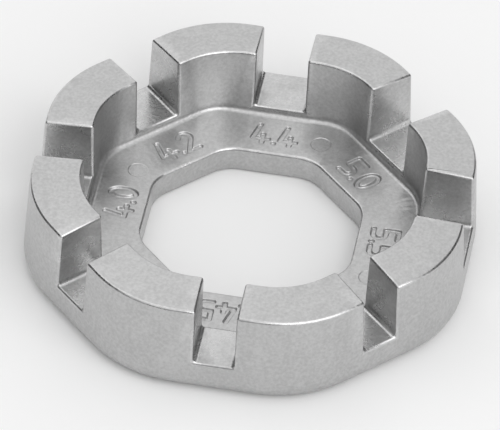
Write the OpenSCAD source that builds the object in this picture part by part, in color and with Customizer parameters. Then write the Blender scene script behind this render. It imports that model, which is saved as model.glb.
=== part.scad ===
/* [Ring] */
// Width across the flats where the sloped outer wall meets the base plane
foot_af = 37.2; // [36.4:0.1:42]
// Width across the flats at the outer edge of the lug tops
rim_af = 36.3; // [34:0.1:37]
// Corner radius of the outer wall at the lug tops
rim_corner_r = 10; // [6:0.5:13]
// Height of the ring at the inner edge of the lug tops
ring_h = 8.8; // [7:0.1:12]
// Fall of the lug tops from their inner edge to their outer edge
top_fall = 0.3; // [0:0.05:0.6]
// Rounding of the bottom outer edge
base_round = 1.3; // [0.4:0.1:1.6]
// Rounding of the edges of the lug tops
edge_round = 0.25; // [0.1:0.05:0.4]

/* [Bowl] */
// Width across the flats between the lugs, at their tops
bowl_af = 28; // [27.4:0.1:30]
// Corner radius between the lugs, at their tops
bowl_corner_r = 7; // [4:0.5:9]
// Draft of the lugs' inner walls, in degrees
bowl_draft = 1; // [0:0.1:2]
// Height of the number face, the bowl's floor, above the base
face_z = 2.4; // [1.8:0.1:2.5]
// Fillet where the lugs' inner walls meet the number face
face_fillet = 0.5; // [0.1:0.05:0.5]

/* [Spoke hole] */
// Width across the flats of the central hole
hole_af = 17.8; // [14:0.1:20]
// Corner radius of the central hole
hole_corner_r = 3; // [1:0.5:6]
// Chamfer of both edges of the hole
hole_edge = 0.15; // [0.1:0.05:0.5]

/* [Nipple slots] */
// Width of slot 1, for 3.3 mm nipples
slot_1_w = 3.3; // [3.2:0.05:3.4]
// Width of slot 2, for 3.45 mm nipples
slot_2_w = 3.45; // [3.4:0.05:3.6]
// Width of slot 3, for 3.7 mm nipples
slot_3_w = 3.7; // [3.6:0.05:3.9]
// Width of slot 4, for 4.0 mm nipples
slot_4_w = 4; // [3.9:0.05:4.1]
// Width of slot 5, for 4.2 mm nipples
slot_5_w = 4.2; // [4.1:0.05:4.3]
// Width of slot 6, for 4.4 mm nipples
slot_6_w = 4.4; // [4.3:0.05:4.6]
// Width of slot 7, for 5.0 mm nipples
slot_7_w = 5; // [4.8:0.05:5.2]
// Width of slot 8, for 5.5 mm nipples
slot_8_w = 5.5; // [5.3:0.05:5.7]
// Height of the slot floors above the base
floor_z = 3.1; // [3:0.1:4]
// Fillet along both feet of a slot
slot_fillet = 0.4; // [0.1:0.05:0.6]

/* [Hidden] */
// The ring has a slot in the middle of each of its flats
sides = 8;
turn = 360 / sides;
slot_widths = [slot_1_w, slot_2_w, slot_3_w, slot_4_w, slot_5_w, slot_6_w, slot_7_w, slot_8_w];
// Slot 1 is on the right front flat, and the widths grow clockwise from there
slot_1_angle = -turn;
// How far every cut runs past what it cuts
overrun = 1;
// Points of a profile that lie closer than this are one point
same_point = 0.001;
// Chords in a rounding
arc_steps = 3;
// Chords in a round corner of the plan
corner_steps = 6;

// The outer wall, the bowl and the hole are octagons with round corners. Each is swept round a
// sharp core octagon by a profile, whose points are [distance out from the core, height, rounding].
foot_a = foot_af / 2;
rim_a = rim_af / 2;
rim_z = ring_h - top_fall;
rim_core = rim_a - rim_corner_r;
bowl_a = bowl_af / 2;
bowl_core = bowl_a - bowl_corner_r;
bowl_foot_a = bowl_a - (ring_h - face_z) * tan(bowl_draft);
// Every slot is cut from inside the bowl, where the number face's fillet begins
slot_start = bowl_foot_a - face_fillet;
hole_a = hole_af / 2;
hole_core = hole_a - hole_corner_r;
top_slope = atan(top_fall / (rim_a - bowl_a));

// Chords of the arc with radius r that rounds corner b of the path a, b, c
function unit(v) = v / norm(v);
function rounding(a, b, c, r) =
    let (u = unit(a - b), v = unit(c - b), half = acos(u * v) / 2)
    let (centre = b + unit(u + v) * r / sin(half), from = b + u * r / tan(half) - centre)
    let (sweep = sign(cross(u, v)) * (2 * half - 180))
    [for (i = [0 : arc_steps]) let (t = sweep * i / arc_steps)
        centre + [from.x * cos(t) - from.y * sin(t), from.x * sin(t) + from.y * cos(t)]];
function flat(p) = [p.x, p.y];
function rounded(path) =
    let (n = len(path))
    let (points = [for (i = [0 : n - 1]) let (b = path[i])
        each b.z == 0 ? [flat(b)]
            : rounding(flat(path[(i + n - 1) % n]), flat(b), flat(path[(i + 1) % n]), b.z)])
    let (m = len(points))
    [for (i = [0 : m - 1]) if (norm(points[i] - points[(i + 1) % m]) > same_point) points[i]];

// One level of a form: an octagon whose flats lie reach out from the core's, with round corners
function octagon_ring(core, reach, z) = [
    for (i = [0 : sides - 1], k = [0 : corner_steps])
        let (c = core / cos(turn / 2), at = (i + 0.5) * turn, t = i * turn + turn * k / corner_steps)
        [c * cos(at) + reach * cos(t), c * sin(at) + reach * sin(t), z]];

// Solid with an octagonal plan and round corners, from its profile's lowest to its highest point
module octagon_form(core, path) {
    profile = rounded(path);
    n = sides * (corner_steps + 1);
    levels = len(profile);
    polyhedron(
        points = [for (p = profile) each octagon_ring(core, p.x, p.y)],
        faces = [
            [for (j = [0 : n - 1]) j],
            for (i = [0 : levels - 2], j = [0 : n - 1])
                [i * n + j, (i + 1) * n + j, (i + 1) * n + (j + 1) % n, i * n + (j + 1) % n],
            [for (j = [n - 1 : -1 : 0]) (levels - 1) * n + j]
        ]
    );
}

// The ring without its bowl, hole and slots. Its top keeps the lug tops' slope as far as the core.
module outer_form() {
    octagon_form(rim_core, [
        [bowl_core, 0, 0],
        [foot_a - rim_core, 0, base_round],
        [rim_a - rim_core, rim_z, edge_round],
        [bowl_a - rim_core - overrun, ring_h + overrun * tan(top_slope), 0]
    ]);
}

// The space between the lugs, down to the number face, with a chamfered brim
module bowl_space() {
    octagon_form(bowl_core, [
        [bowl_corner_r / 2, face_z, 0],
        [bowl_foot_a - bowl_core, face_z, face_fillet],
        [bowl_a - bowl_core, ring_h - edge_round, 0],
        [bowl_a - bowl_core + edge_round + overrun, ring_h + overrun, 0]
    ]);
}

// The hole that the wheel's spokes pass through, with both of its edges chamfered
module spoke_hole() {
    octagon_form(hole_core, [
        [hole_corner_r + hole_edge + overrun, -overrun, 0],
        [hole_corner_r, hole_edge, 0],
        [hole_corner_r, face_z - hole_edge, 0],
        [hole_corner_r + hole_edge + overrun, face_z + overrun, 0]
    ]);
}

// A slot along +X with filleted feet, and with a chamfered mouth that follows the tops' slope
module nipple_slot(w) {
    side = w / 2;
    brim = side + edge_round;
    reach = foot_a + overrun - slot_start;
    translate([slot_start, 0, 0])
        rotate([90, 0, 90])
            linear_extrude(reach)
                polygon(rounded([
                    [-side, floor_z, slot_fillet],
                    [side, floor_z, slot_fillet],
                    [side, ring_h + overrun, 0],
                    [-side, ring_h + overrun, 0]
                ]));
    translate([bowl_a, 0, ring_h])
        rotate([0, top_slope, 0])
            translate([-overrun, 0, 0])
                rotate([90, 0, 90])
                    linear_extrude(reach + overrun)
                        polygon([[0, -brim], [brim + overrun, overrun], [-brim - overrun, overrun]]);
}

module wrench_body() {
    color([0.72, 0.72, 0.72])
        difference() {
            outer_form();
            bowl_space();
            spoke_hole();
            for (i = [0 : sides - 1])
                rotate(slot_1_angle - i * turn) nipple_slot(slot_widths[i]);
        }
}

wrench_body();
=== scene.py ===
import math

import bmesh
import bpy
from mathutils import Matrix, Vector
from mathutils.geometry import intersect_point_line


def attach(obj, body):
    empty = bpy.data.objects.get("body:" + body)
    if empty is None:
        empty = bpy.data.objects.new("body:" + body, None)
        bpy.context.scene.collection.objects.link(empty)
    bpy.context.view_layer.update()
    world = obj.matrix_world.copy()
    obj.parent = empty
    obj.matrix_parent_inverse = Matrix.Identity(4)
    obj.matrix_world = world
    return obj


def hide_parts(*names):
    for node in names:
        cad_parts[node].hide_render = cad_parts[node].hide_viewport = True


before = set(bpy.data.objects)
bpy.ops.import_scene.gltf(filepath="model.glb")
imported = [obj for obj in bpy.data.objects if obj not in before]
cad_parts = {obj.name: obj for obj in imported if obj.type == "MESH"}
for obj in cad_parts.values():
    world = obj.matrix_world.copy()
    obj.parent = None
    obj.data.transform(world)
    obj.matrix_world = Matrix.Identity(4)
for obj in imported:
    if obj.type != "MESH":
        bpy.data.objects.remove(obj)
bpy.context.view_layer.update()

# The casting is modelled in millimetres and scaled to metres when it is done
MM = 0.001

# Heights of the ring's levels, as in the CAD model
RING_H, RIM_Z, FLOOR_Z, FACE_Z = 8.8, 8.5, 3.1, 2.4
# Half the width across the flats and the corner radius of the outer wall, the bowl and the hole
RIM, OUTER_WALL, FOOT = (18.15, 10.0), (18.44, 10.29), (18.6, 10.45)
BOWL, BOWL_WALL, BOWL_FOOT = (14.0, 7.0), (13.8, 4.5), (13.7, 3.8)
HOLE = (8.9, 3.0)

# Roundings of the edges and fillets of the feet
BASE_ROUND, EDGE_ROUND, HOLE_ROUND, SLOT_FILLET, FACE_FILLET = 1.5, 0.25, 0.26, 0.4, 0.44
BASE_STEPS, EDGE_STEPS, CORNER_STEPS = 8, 4, 16
# A bend between two faces that is sharper than this is an edge
SHARP = math.radians(25)

# Each slot's number and width, counterclockwise from the widest
SLOTS = [
    ("5.5", 5.5), ("5.0", 5.0), ("4.4", 4.4), ("4.2", 4.2),
    ("4.0", 4.0), ("3.7", 3.7), ("3.45", 3.45), ("3.3", 3.3),
]
SIDES = len(SLOTS)
TURN = 2 * math.pi / SIDES
HALF = TURN / 2

# Places closer than this are one place
TINY = 0.001
# Widest middle strip of a flat, as a share of half the flat
WIDEST_STRIP = 1.9

# The sunk numerals: their height, their width, the gap between them, and the groove of a stroke
CAP, DIGIT_W, DIGIT_GAP = 2.15, 1.1, 0.5
GROOVE_TOP, GROOVE_FOOT, GROOVE_DEPTH = 0.25, 0.16, 0.22
GRID_STEP, PATCH_RIM = 0.042, 0.36
# Angle between two points of a numeral's arc, in degrees
ARC_STEP = 12
# How far each number lies along its slot's side from the middle, and its baseline's distance out
NUMBER_PLACES = [
    (0, 10.2), (0, 10.2), (0.1, 10.2), (0.2, 10.2), (0.3, 10.1), (0, 10.2), (0, 10.1), (0, 10.2),
]
# The round marks at every second corner of the number face: their angles and distances out
PIN_PLACES = [(69.5, 11.7), (156.8, 11.4), (247.5, 11.6), (337.5, 11.6)]
PIN_R, PIN_EDGE, PIN_DEPTH, PIN_STEPS = 0.88, 0.07, 0.04, 48

# An outer edge is rubbed bright, partly wear and partly a painted highlight, where it bends more than this
# from face to face
WEAR_AND_HIGHLIGHT_BEND = math.radians(12)

# The cast metal: the size of its grain and of its cloudy patches, and how deep they dent it
GRAIN, CLOUDS, DENT = 0.28, 2.2, 0.03
DARK_STEEL, BRIGHT_STEEL = (0.46, 0.46, 0.46), (0.64, 0.64, 0.64)
# Share of the brightness that wear and the painted highlight on edges add
WEAR_AND_HIGHLIGHT_TONE = 0.35
# Its roughness at least, what clouds add to it, and what wear takes away
ROUGH, CLOUD_ROUGH, WEAR_SMOOTH = 0.28, 0.16, 0.1

# The camera's angles, and its sizes in pixels of the photograph and in millimetres
CAMERA_YAW, CAMERA_PITCH, CAMERA_ROLL = (math.radians(a) for a in (-7.827, 42.643, -3.027))
CAMERA_FOCAL, PHOTO_W = 7229, 500
CAMERA_SIDE, CAMERA_DROP, CAMERA_DISTANCE = 0.347, 4.013, 601.6

# The studio, in metres: the cards' distance, the lamps' distance, and the floor's gap under the base
CARD_R, LAMP_R, FLOOR_GAP = 0.6, 0.7, 0.00005
# Angle between two edges of a curved card, in degrees
CARD_STEP = 5
# Tones of the floor and of the cards
PAPER, BLACK, DARK, GREY = 0.95, 0.08, 0.1, 0.25
# The world's light on what isn't glossy
WORLD_LIGHT = 0.75


def flat_point(side, out, along, height):
    """Point by one side's flat: so far out from the axis, along the flat and up."""
    angle = side * TURN
    x = out * math.cos(angle) - along * math.sin(angle)
    y = out * math.sin(angle) + along * math.cos(angle)
    return Vector((x, y, height))


def from_flat(side, point):
    """The reverse of flat_point: distance out, along the flat and up."""
    return Matrix.Rotation(-side * TURN, 3, "Z") @ point


def octagon_loop(bm, out, corner_r, height):
    """A closed loop of edges along an octagon with round corners. Each flat has three of them, and
    the middle one is as wide as its slot where it can be."""
    before = set(bm.edges)
    core = out - corner_r
    half_flat = core * math.tan(HALF)
    first = vert = bm.verts.new(flat_point(0, out, half_flat, height))
    for side in range(SIDES):
        vert = bmesh.ops.spin(
            bm, geom=[vert], cent=flat_point(side, core, half_flat, 0), axis=(0, 0, 1),
            angle=TURN, steps=CORNER_STEPS, use_duplicate=False, use_merge=False,
        )["geom_last"][0]
        flat = (side + 1) % SIDES
        width = min(SLOTS[flat][1], WIDEST_STRIP * half_flat)
        rest = half_flat - width / 2
        for length in (rest, width, rest):
            vert = bmesh.ops.extrude_vert_indiv(bm, verts=[vert])["verts"][0]
            bmesh.ops.translate(bm, verts=[vert], vec=flat_point(flat, 0, length, 0))
    bmesh.ops.pointmerge(bm, verts=[first, vert], merge_co=first.co)
    return [e for e in bm.edges if e not in before]


def level_edges(bm, height):
    """Edges that have a face on one side only, and lie at one height."""
    return [
        e for e in bm.edges
        if len(e.link_faces) < 2 and all(abs(v.co.z - height) < TINY for v in e.verts)
    ]


def in_slot(side, point):
    """Whether a point lies between the planes of one side's slot walls, on that side."""
    out, along, _ = from_flat(side, point)
    return out > 0 and abs(along) < SLOTS[side][1] / 2


def ring_without_slots(bm):
    """The walls of the ring, the base and the number face, all but the tops of the lugs."""
    levels = (
        (RIM, RIM_Z), (OUTER_WALL, FLOOR_Z), (FOOT, 0), (HOLE, 0), (HOLE, FACE_Z),
        (BOWL_FOOT, FACE_Z), (BOWL_WALL, FLOOR_Z), (BOWL, RING_H),
    )
    rim, outer_wall, foot, hole_foot, hole_top, bowl_foot, bowl_wall, bowl = (
        octagon_loop(bm, *plan, height) for plan, height in levels
    )
    # The base and the number face come first: once a wall stands on a loop, a flat bridge can twist
    flats = (foot, hole_foot), (hole_top, bowl_foot)
    walls = (
        (hole_foot, hole_top), (bowl_foot, bowl_wall), (bowl_wall, bowl),
        (rim, outer_wall), (outer_wall, foot),
    )
    for loop, other in (*flats, *walls):
        bmesh.ops.bridge_loops(bm, edges=loop + other)
    bmesh.ops.recalc_face_normals(bm, faces=bm.faces)
    bmesh.ops.bevel(
        bm, geom=foot, offset=BASE_ROUND, offset_type="OFFSET",
        segments=BASE_STEPS, profile=0.5, affect="EDGES", material=-1,
    )


def cut_slots(bm):
    """Opens the slots in both walls, then makes the lugs' tops, the slot floors and the slot walls."""
    gone = [
        f for f in bm.faces
        if f.calc_center_median().z > FLOOR_Z + TINY
        and any(in_slot(side, f.calc_center_median()) for side in range(SIDES))
    ]
    bmesh.ops.delete(bm, geom=gone, context="FACES")
    for side in range(SIDES):
        lug = Matrix.Rotation(-(side + 0.5) * TURN, 3, "Z")
        tops = level_edges(bm, RIM_Z) + level_edges(bm, RING_H)
        tops = [e for e in tops if all(abs(angle_of(lug @ v.co)) < HALF for v in e.verts)]
        bmesh.ops.bridge_loops(bm, edges=tops)
        floor = [e for e in level_edges(bm, FLOOR_Z) if in_slot(side, middle(e))]
        bmesh.ops.contextual_create(bm, geom=floor)
    rims = [e for e in bm.edges if e.is_boundary]
    bmesh.ops.holes_fill(bm, edges=rims, sides=4)


def angle_of(point):
    return math.atan2(point.y, point.x)


def middle(edge):
    return (edge.verts[0].co + edge.verts[1].co) / 2


def new_piece(bm, name):
    """An object with the mesh that bm holds, which ends bm."""
    mesh = bpy.data.meshes.new(name)
    bm.to_mesh(mesh)
    bm.free()
    piece = bpy.data.objects.new(name, mesh)
    bpy.context.scene.collection.objects.link(piece)
    return piece


def edge_size(edge):
    """Rounding or fillet of a sharp edge, or zero where two faces meet smoothly."""
    bend = edge.calc_face_angle_signed(0)
    if abs(bend) < SHARP:
        return 0
    place = middle(edge)
    if bend > 0:
        return HOLE_ROUND if place.xy.length * math.cos(HALF) < HOLE[0] else EDGE_ROUND
    if abs(place.z - FACE_Z) < TINY:
        return FACE_FILLET
    along_slot = any(
        all(abs(abs(from_flat(side, v.co).y) - SLOTS[side][1] / 2) < TINY for v in edge.verts)
        and from_flat(side, place).x > 0
        for side in range(SIDES)
    )
    return SLOT_FILLET if along_slot else 0


def round_edges(bm):
    """Rounds every sharp edge by its own size, and returns the rounded casting as a new bmesh."""
    weight = bm.edges.layers.float.new("bevel_weight_edge")
    for edge in bm.edges:
        edge[weight] = edge_size(edge) / SLOT_FILLET
    block = new_piece(bm, "casting_block")
    bevel = block.modifiers.new("edges", "BEVEL")
    bevel.width = SLOT_FILLET
    bevel.limit_method = "WEIGHT"
    bevel.segments = EDGE_STEPS
    bevel.use_clamp_overlap = False
    rounded = bmesh.new()
    rounded.from_object(block, bpy.context.evaluated_depsgraph_get())
    bpy.data.objects.remove(block)
    return rounded


def arc(centre, radii, start, end):
    """Points along an arc of an ellipse, its angles in degrees."""
    steps = max(2, round(abs(end - start) / ARC_STEP))
    angles = [math.radians(start + (end - start) * i / steps) for i in range(steps + 1)]
    return [(centre[0] + radii[0] * math.cos(a), centre[1] + radii[1] * math.sin(a)) for a in angles]


def glyph_strokes():
    """Centre lines of the numerals, from their baseline up to CAP, each starting at x = 0."""
    bowl = DIGIT_W / 2
    low, high = CAP / 4, 3 * CAP / 4
    return {
        "0": [arc((bowl, CAP / 2), (bowl, CAP / 2), 0, 360)],
        "2": [arc((bowl, high), (bowl, low), 160, -30) + [(0, 0)], [(0, 0), (DIGIT_W, 0)]],
        "3": [arc((bowl, high), (bowl, low), 140, -90), arc((bowl, low), (bowl, low), 90, -140)],
        "4": [[(0.45, CAP), (0, 0.5), (1.35, 0.5)], [(0.85, 1.05), (0.85, 0)]],
        "5": [[(DIGIT_W, CAP), (0, CAP), (0, CAP / 2)] + arc((bowl, low), (bowl, low), 90, -90) + [(0, 0)]],
        "7": [[(0, CAP), (DIGIT_W, CAP), (0.35, 0)]],
        ".": [[(0, 0), (0, 0.05)]],
    }


def number_strokes(text):
    """Strokes of a whole number, centred along its slot."""
    glyphs = glyph_strokes()
    pen, strokes = 0, []
    for digit in text:
        width = max(x for stroke in glyphs[digit] for x, _ in stroke)
        strokes += [[(pen + x, y) for x, y in stroke] for stroke in glyphs[digit]]
        pen += width + DIGIT_GAP
    half = (pen - DIGIT_GAP) / 2
    return [[(x - half, y) for x, y in stroke] for stroke in strokes], half


def groove_depth(point, segments):
    """Depth of the numerals' grooves at a point of the number face."""
    nearest = GROOVE_TOP
    for a, b in segments:
        spot, share = intersect_point_line(point, a, b)
        spot = a if share < 0 else b if share > 1 else spot
        nearest = min(nearest, (point - spot).length)
    rise = min(max((nearest - GROOVE_FOOT) / (GROOVE_TOP - GROOVE_FOOT), 0), 1)
    return GROOVE_DEPTH * (1 - rise * rise * (3 - 2 * rise))


def number_patch(bm, side):
    """A fine grid let into the number face, with the side's number sunk into it."""
    text = SLOTS[side][0]
    shift, base = NUMBER_PLACES[side]
    strokes, half = number_strokes(text)
    segments = [
        (Vector((*a, 0)), Vector((*b, 0))) for stroke in strokes for a, b in zip(stroke, stroke[1:])
    ]
    wide, tall = 2 * (half + PATCH_RIM), CAP + 2 * PATCH_RIM
    grid = bmesh.ops.create_grid(
        bm, x_segments=round(wide / GRID_STEP), y_segments=round(tall / GRID_STEP), size=0.5,
        matrix=Matrix.Translation((0, CAP / 2, 0)) @ Matrix.Diagonal((wide, tall, 1, 1)),
    )["verts"]
    for v in grid:
        depth = groove_depth(v.co, segments)
        v.co = flat_point(side, base + v.co.y, -(shift + v.co.x), FACE_Z - depth)


def pin_mark(bm, angle, out):
    """A shallow round mark at a corner of the number face."""
    centre = Matrix.Rotation(math.radians(angle), 3, "Z") @ Vector((out, 0, FACE_Z))
    disc = bmesh.ops.create_circle(
        bm, cap_ends=True, segments=PIN_STEPS, radius=PIN_R, matrix=Matrix.Translation(centre)
    )["verts"]
    face = disc[0].link_faces[0]
    for edge in face.edges:
        edge.smooth = False
    bmesh.ops.inset_region(bm, faces=[face], thickness=PIN_EDGE, use_boundary=True, use_even_offset=True)
    bmesh.ops.translate(bm, verts=face.verts, vec=(0, 0, -PIN_DEPTH))


def number_face(bm):
    """Replaces the plain number face by one with the numbers and the round marks. The fill leaves
    gaps at some values of GRID_STEP, so a change to the numerals needs a count of open edges."""
    plain = [
        f for f in bm.faces
        if f.normal.z > 1 - TINY and abs(f.calc_center_median().z - FACE_Z) < TINY
    ]
    bmesh.ops.delete(bm, geom=plain, context="FACES")
    for side in range(SIDES):
        number_patch(bm, side)
    for angle, out in PIN_PLACES:
        pin_mark(bm, angle, out)
    rims = [e for e in bm.edges if e.is_boundary]
    bmesh.ops.triangle_fill(bm, edges=rims, use_beauty=True, normal=(0, 0, 1))


def mark_wear_and_highlight(bm):
    """Stores how worn each point is, which also marks where a painted highlight brightens it: 1 on an edge
    that stands out, 0 elsewhere.
    """
    wear_and_highlight = bm.verts.layers.float.new("wear_and_highlight")
    for edge in bm.edges:
        if edge.calc_face_angle_signed(0) > WEAR_AND_HIGHLIGHT_BEND and middle(edge).z > FACE_Z / 2:
            for v in edge.verts:
                v[wear_and_highlight] = 1


def make_casting():
    """The whole wrench, as one mesh."""
    bm = bmesh.new()
    ring_without_slots(bm)
    cut_slots(bm)
    bmesh.ops.recalc_face_normals(bm, faces=bm.faces)
    bm = round_edges(bm)
    mark_wear_and_highlight(bm)
    number_face(bm)
    bmesh.ops.recalc_face_normals(bm, faces=bm.faces)
    bmesh.ops.scale(bm, vec=(MM, MM, MM), verts=bm.verts)
    casting = new_piece(bm, "wrench_casting")
    casting.data.shade_smooth()
    normals = casting.modifiers.new("flat_faces", "WEIGHTED_NORMAL")
    normals.keep_sharp = True
    return casting


class Shade:
    """A socket of a node tree. Arithmetic on it adds Math nodes."""

    def __init__(self, tree, socket=None):
        self.tree, self.socket = tree, socket

    def add(self, kind, settings, inputs, output=0):
        """Adds a node: its settings first, then the values or links of its sockets."""
        node = self.tree.nodes.new(kind)
        for name, value in settings.items():
            setattr(node, name, value)
        for name, value in inputs.items():
            if isinstance(value, Shade):
                self.tree.links.new(value.socket, node.inputs[name])
            else:
                node.inputs[name].default_value = value
        return Shade(self.tree, node.outputs[output] if node.outputs else None)

    def math(self, operation, *values):
        return self.add("ShaderNodeMath", {"operation": operation}, dict(enumerate(values)))

    def __add__(self, other):
        return self.math("ADD", self, other)

    def __sub__(self, other):
        return self.math("SUBTRACT", self, other)

    def __rsub__(self, other):
        return self.math("SUBTRACT", other, self)

    def __mul__(self, other):
        return self.math("MULTIPLY", self, other)

    __radd__ = __add__
    __rmul__ = __mul__

    def noise(self, size, detail):
        """Noise on the object, from 0 to 1, with patches of a size in millimetres."""
        spot = self.add("ShaderNodeTexCoord", {}, {}, "Object")
        sockets = {"Vector": spot, "Scale": 1 / (size * MM), "Detail": detail, "Roughness": 0.6}
        return self.add("ShaderNodeTexNoise", {}, sockets)

    def ease(self, low, high):
        """Rises smoothly from 0 to 1 while this value goes from low to high."""
        sockets = {"Value": self, "From Min": low, "From Max": high}
        return self.add("ShaderNodeMapRange", {"interpolation_type": "SMOOTHSTEP"}, sockets)

    def blend(self, low, high):
        """A colour that goes from low to high with this value."""
        settings = {"data_type": "RGBA", "clamp_factor": True}
        return self.add("ShaderNodeMix", settings, {0: self, 6: (*low, 1), 7: (*high, 1)}, 2)


def new_material(name):
    """A material without nodes, and the first handle on its tree."""
    made = bpy.data.materials.new(name)
    made.use_nodes = True
    made.node_tree.nodes.clear()
    return made, Shade(made.node_tree)


def cast_metal():
    """Bare cast steel: fine mottled grain, cloudy gloss, and edges rubbed bright, partly wear and partly a
    painted highlight.
    """
    made, shade = new_material("cast_metal")
    grain = shade.noise(GRAIN, 3)
    clouds = shade.noise(CLOUDS, 3)
    # Painted highlight and wear: the base colour is made brighter on edges that stand out
    rubbed_and_highlit = shade.add("ShaderNodeAttribute", {"attribute_name": "wear_and_highlight"}, {}, "Fac")
    wear_and_highlight = rubbed_and_highlit.ease(0.1, 0.9) * clouds.ease(0.25, 0.6)
    tone = (grain * 0.7 + clouds * 0.3).ease(0.3, 0.7) * (1 - WEAR_AND_HIGHLIGHT_TONE) + wear_and_highlight * WEAR_AND_HIGHLIGHT_TONE
    height = grain * 0.6 + clouds * 0.4
    dents = shade.add("ShaderNodeBump", {}, {"Height": height, "Strength": 1, "Distance": DENT * MM})
    surface = shade.add("ShaderNodeBsdfPrincipled", {}, {
        "Base Color": tone.blend(DARK_STEEL, BRIGHT_STEEL),
        "Metallic": 1,
        "Roughness": clouds * CLOUD_ROUGH - wear_and_highlight * WEAR_SMOOTH + ROUGH,
        "Normal": dents,
    })
    shade.add("ShaderNodeOutputMaterial", {}, {"Surface": surface})
    return made


def matte(name, tone):
    """Plain matte paper, card or cloth with a faint mottle."""
    made, shade = new_material(name)
    mottle = shade.noise(30, 2).ease(0.3, 0.7)
    surface = shade.add("ShaderNodeBsdfPrincipled", {}, {
        "Base Color": mottle.blend([tone * 0.99] * 3, [tone] * 3),
        "Roughness": 0.9,
        "Specular IOR Level": 0,
    })
    shade.add("ShaderNodeOutputMaterial", {}, {"Surface": surface})
    return made


def photo_camera():
    """The camera, fitted to the photograph."""
    turn = Matrix.Rotation(CAMERA_YAW, 3, "Z")
    tilt = Matrix.Rotation(CAMERA_PITCH - math.pi / 2, 3, "X")
    to_camera = Matrix.Rotation(CAMERA_ROLL, 3, "Z") @ tilt @ turn
    from_camera = to_camera.transposed()
    place = from_camera @ Vector((-CAMERA_SIDE, -CAMERA_DROP, CAMERA_DISTANCE)) + Vector((0, 0, RING_H))
    lens = bpy.data.cameras.new("camera")
    lens.lens = CAMERA_FOCAL * lens.sensor_width / PHOTO_W
    camera = bpy.data.objects.new("camera", lens)
    bpy.context.scene.collection.objects.link(camera)
    camera.matrix_world = Matrix.LocRotScale(place * MM, from_camera.to_quaternion(), None)
    bpy.context.scene.camera = camera


def pale_floor(finish):
    """A flat sheet, just under the base so that the two don't lie in one plane."""
    bm = bmesh.new()
    bmesh.ops.create_grid(bm, x_segments=1, y_segments=1, size=1)
    bmesh.ops.translate(bm, verts=bm.verts, vec=(0, 0, -FLOOR_GAP))
    sheet = new_piece(bm, "floor")
    sheet.data.materials.append(finish)


def studio_card(name, finish, start, end, low, high):
    """A curved card round the object, which only its reflections show. Its angles are in degrees:
    counterclockwise from +X to start and end, and up from the floor to low and high."""
    bm = bmesh.new()
    turn = Matrix.Rotation(math.radians(start), 3, "Z")
    corners = [turn @ Vector((CARD_R, 0, CARD_R * math.tan(math.radians(up)))) for up in (low, high)]
    side = bm.edges.new([bm.verts.new(c) for c in corners])
    bmesh.ops.spin(
        bm, geom=[side, *side.verts], cent=(0, 0, 0), axis=(0, 0, 1), angle=math.radians(end - start),
        steps=round((end - start) / CARD_STEP), use_duplicate=False, use_merge=False,
    )
    card = new_piece(bm, name)
    card.data.materials.append(finish)
    card.visible_camera = card.visible_diffuse = card.visible_shadow = False


def soft_lamp(name, around, up, size, power):
    """A square lamp that shines on the object. Its angles are in degrees, as a card's are."""
    made = bpy.data.lights.new(name, "AREA")
    made.shape, made.size, made.energy = "SQUARE", size, power
    lamp = bpy.data.objects.new(name, made)
    bpy.context.scene.collection.objects.link(lamp)
    turn = Matrix.Rotation(math.radians(around), 4, "Z") @ Matrix.Rotation(math.radians(-up), 4, "Y")
    lamp.matrix_world = turn @ Matrix.Translation((LAMP_R, 0, 0)) @ Matrix.Rotation(math.pi / 2, 4, "Y")


def studio_world():
    """White where it is seen, directly or in the metal, and a little less where it lights the floor."""
    world = bpy.data.worlds.new("studio")
    world.use_nodes = True
    world.node_tree.nodes.clear()
    shade = Shade(world.node_tree)
    seen = 0
    for ray in ("Is Camera Ray", "Is Glossy Ray", "Is Transmission Ray"):
        seen = shade.add("ShaderNodeLightPath", {}, {}, ray) + seen
    strength = seen.ease(0, 1) * (1 - WORLD_LIGHT) + WORLD_LIGHT
    white = shade.add("ShaderNodeBackground", {}, {"Color": (1, 1, 1, 1), "Strength": strength})
    shade.add("ShaderNodeOutputWorld", {}, {"Surface": white})
    bpy.context.scene.world = world


casting = make_casting()
casting.data.materials.append(cast_metal())
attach(casting, "root")
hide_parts("wrench_body")

photo_camera()
bpy.context.scene.view_settings.view_transform = "Standard"
pale_floor(matte("floor_paper", PAPER))
studio_card("card_left", matte("black_cloth", BLACK), 142, 212, 0, 48)
studio_card("card_front", matte("grey_card", GREY), 215, 290, 0, 28)
studio_card("card_right", matte("dark_card", DARK), -5, 65, 0, 50)
soft_lamp("lamp_front_right", -45, 45, 0.6, 1.6)
soft_lamp("lamp_back", 150, 65, 0.5, 0.3)
studio_world()
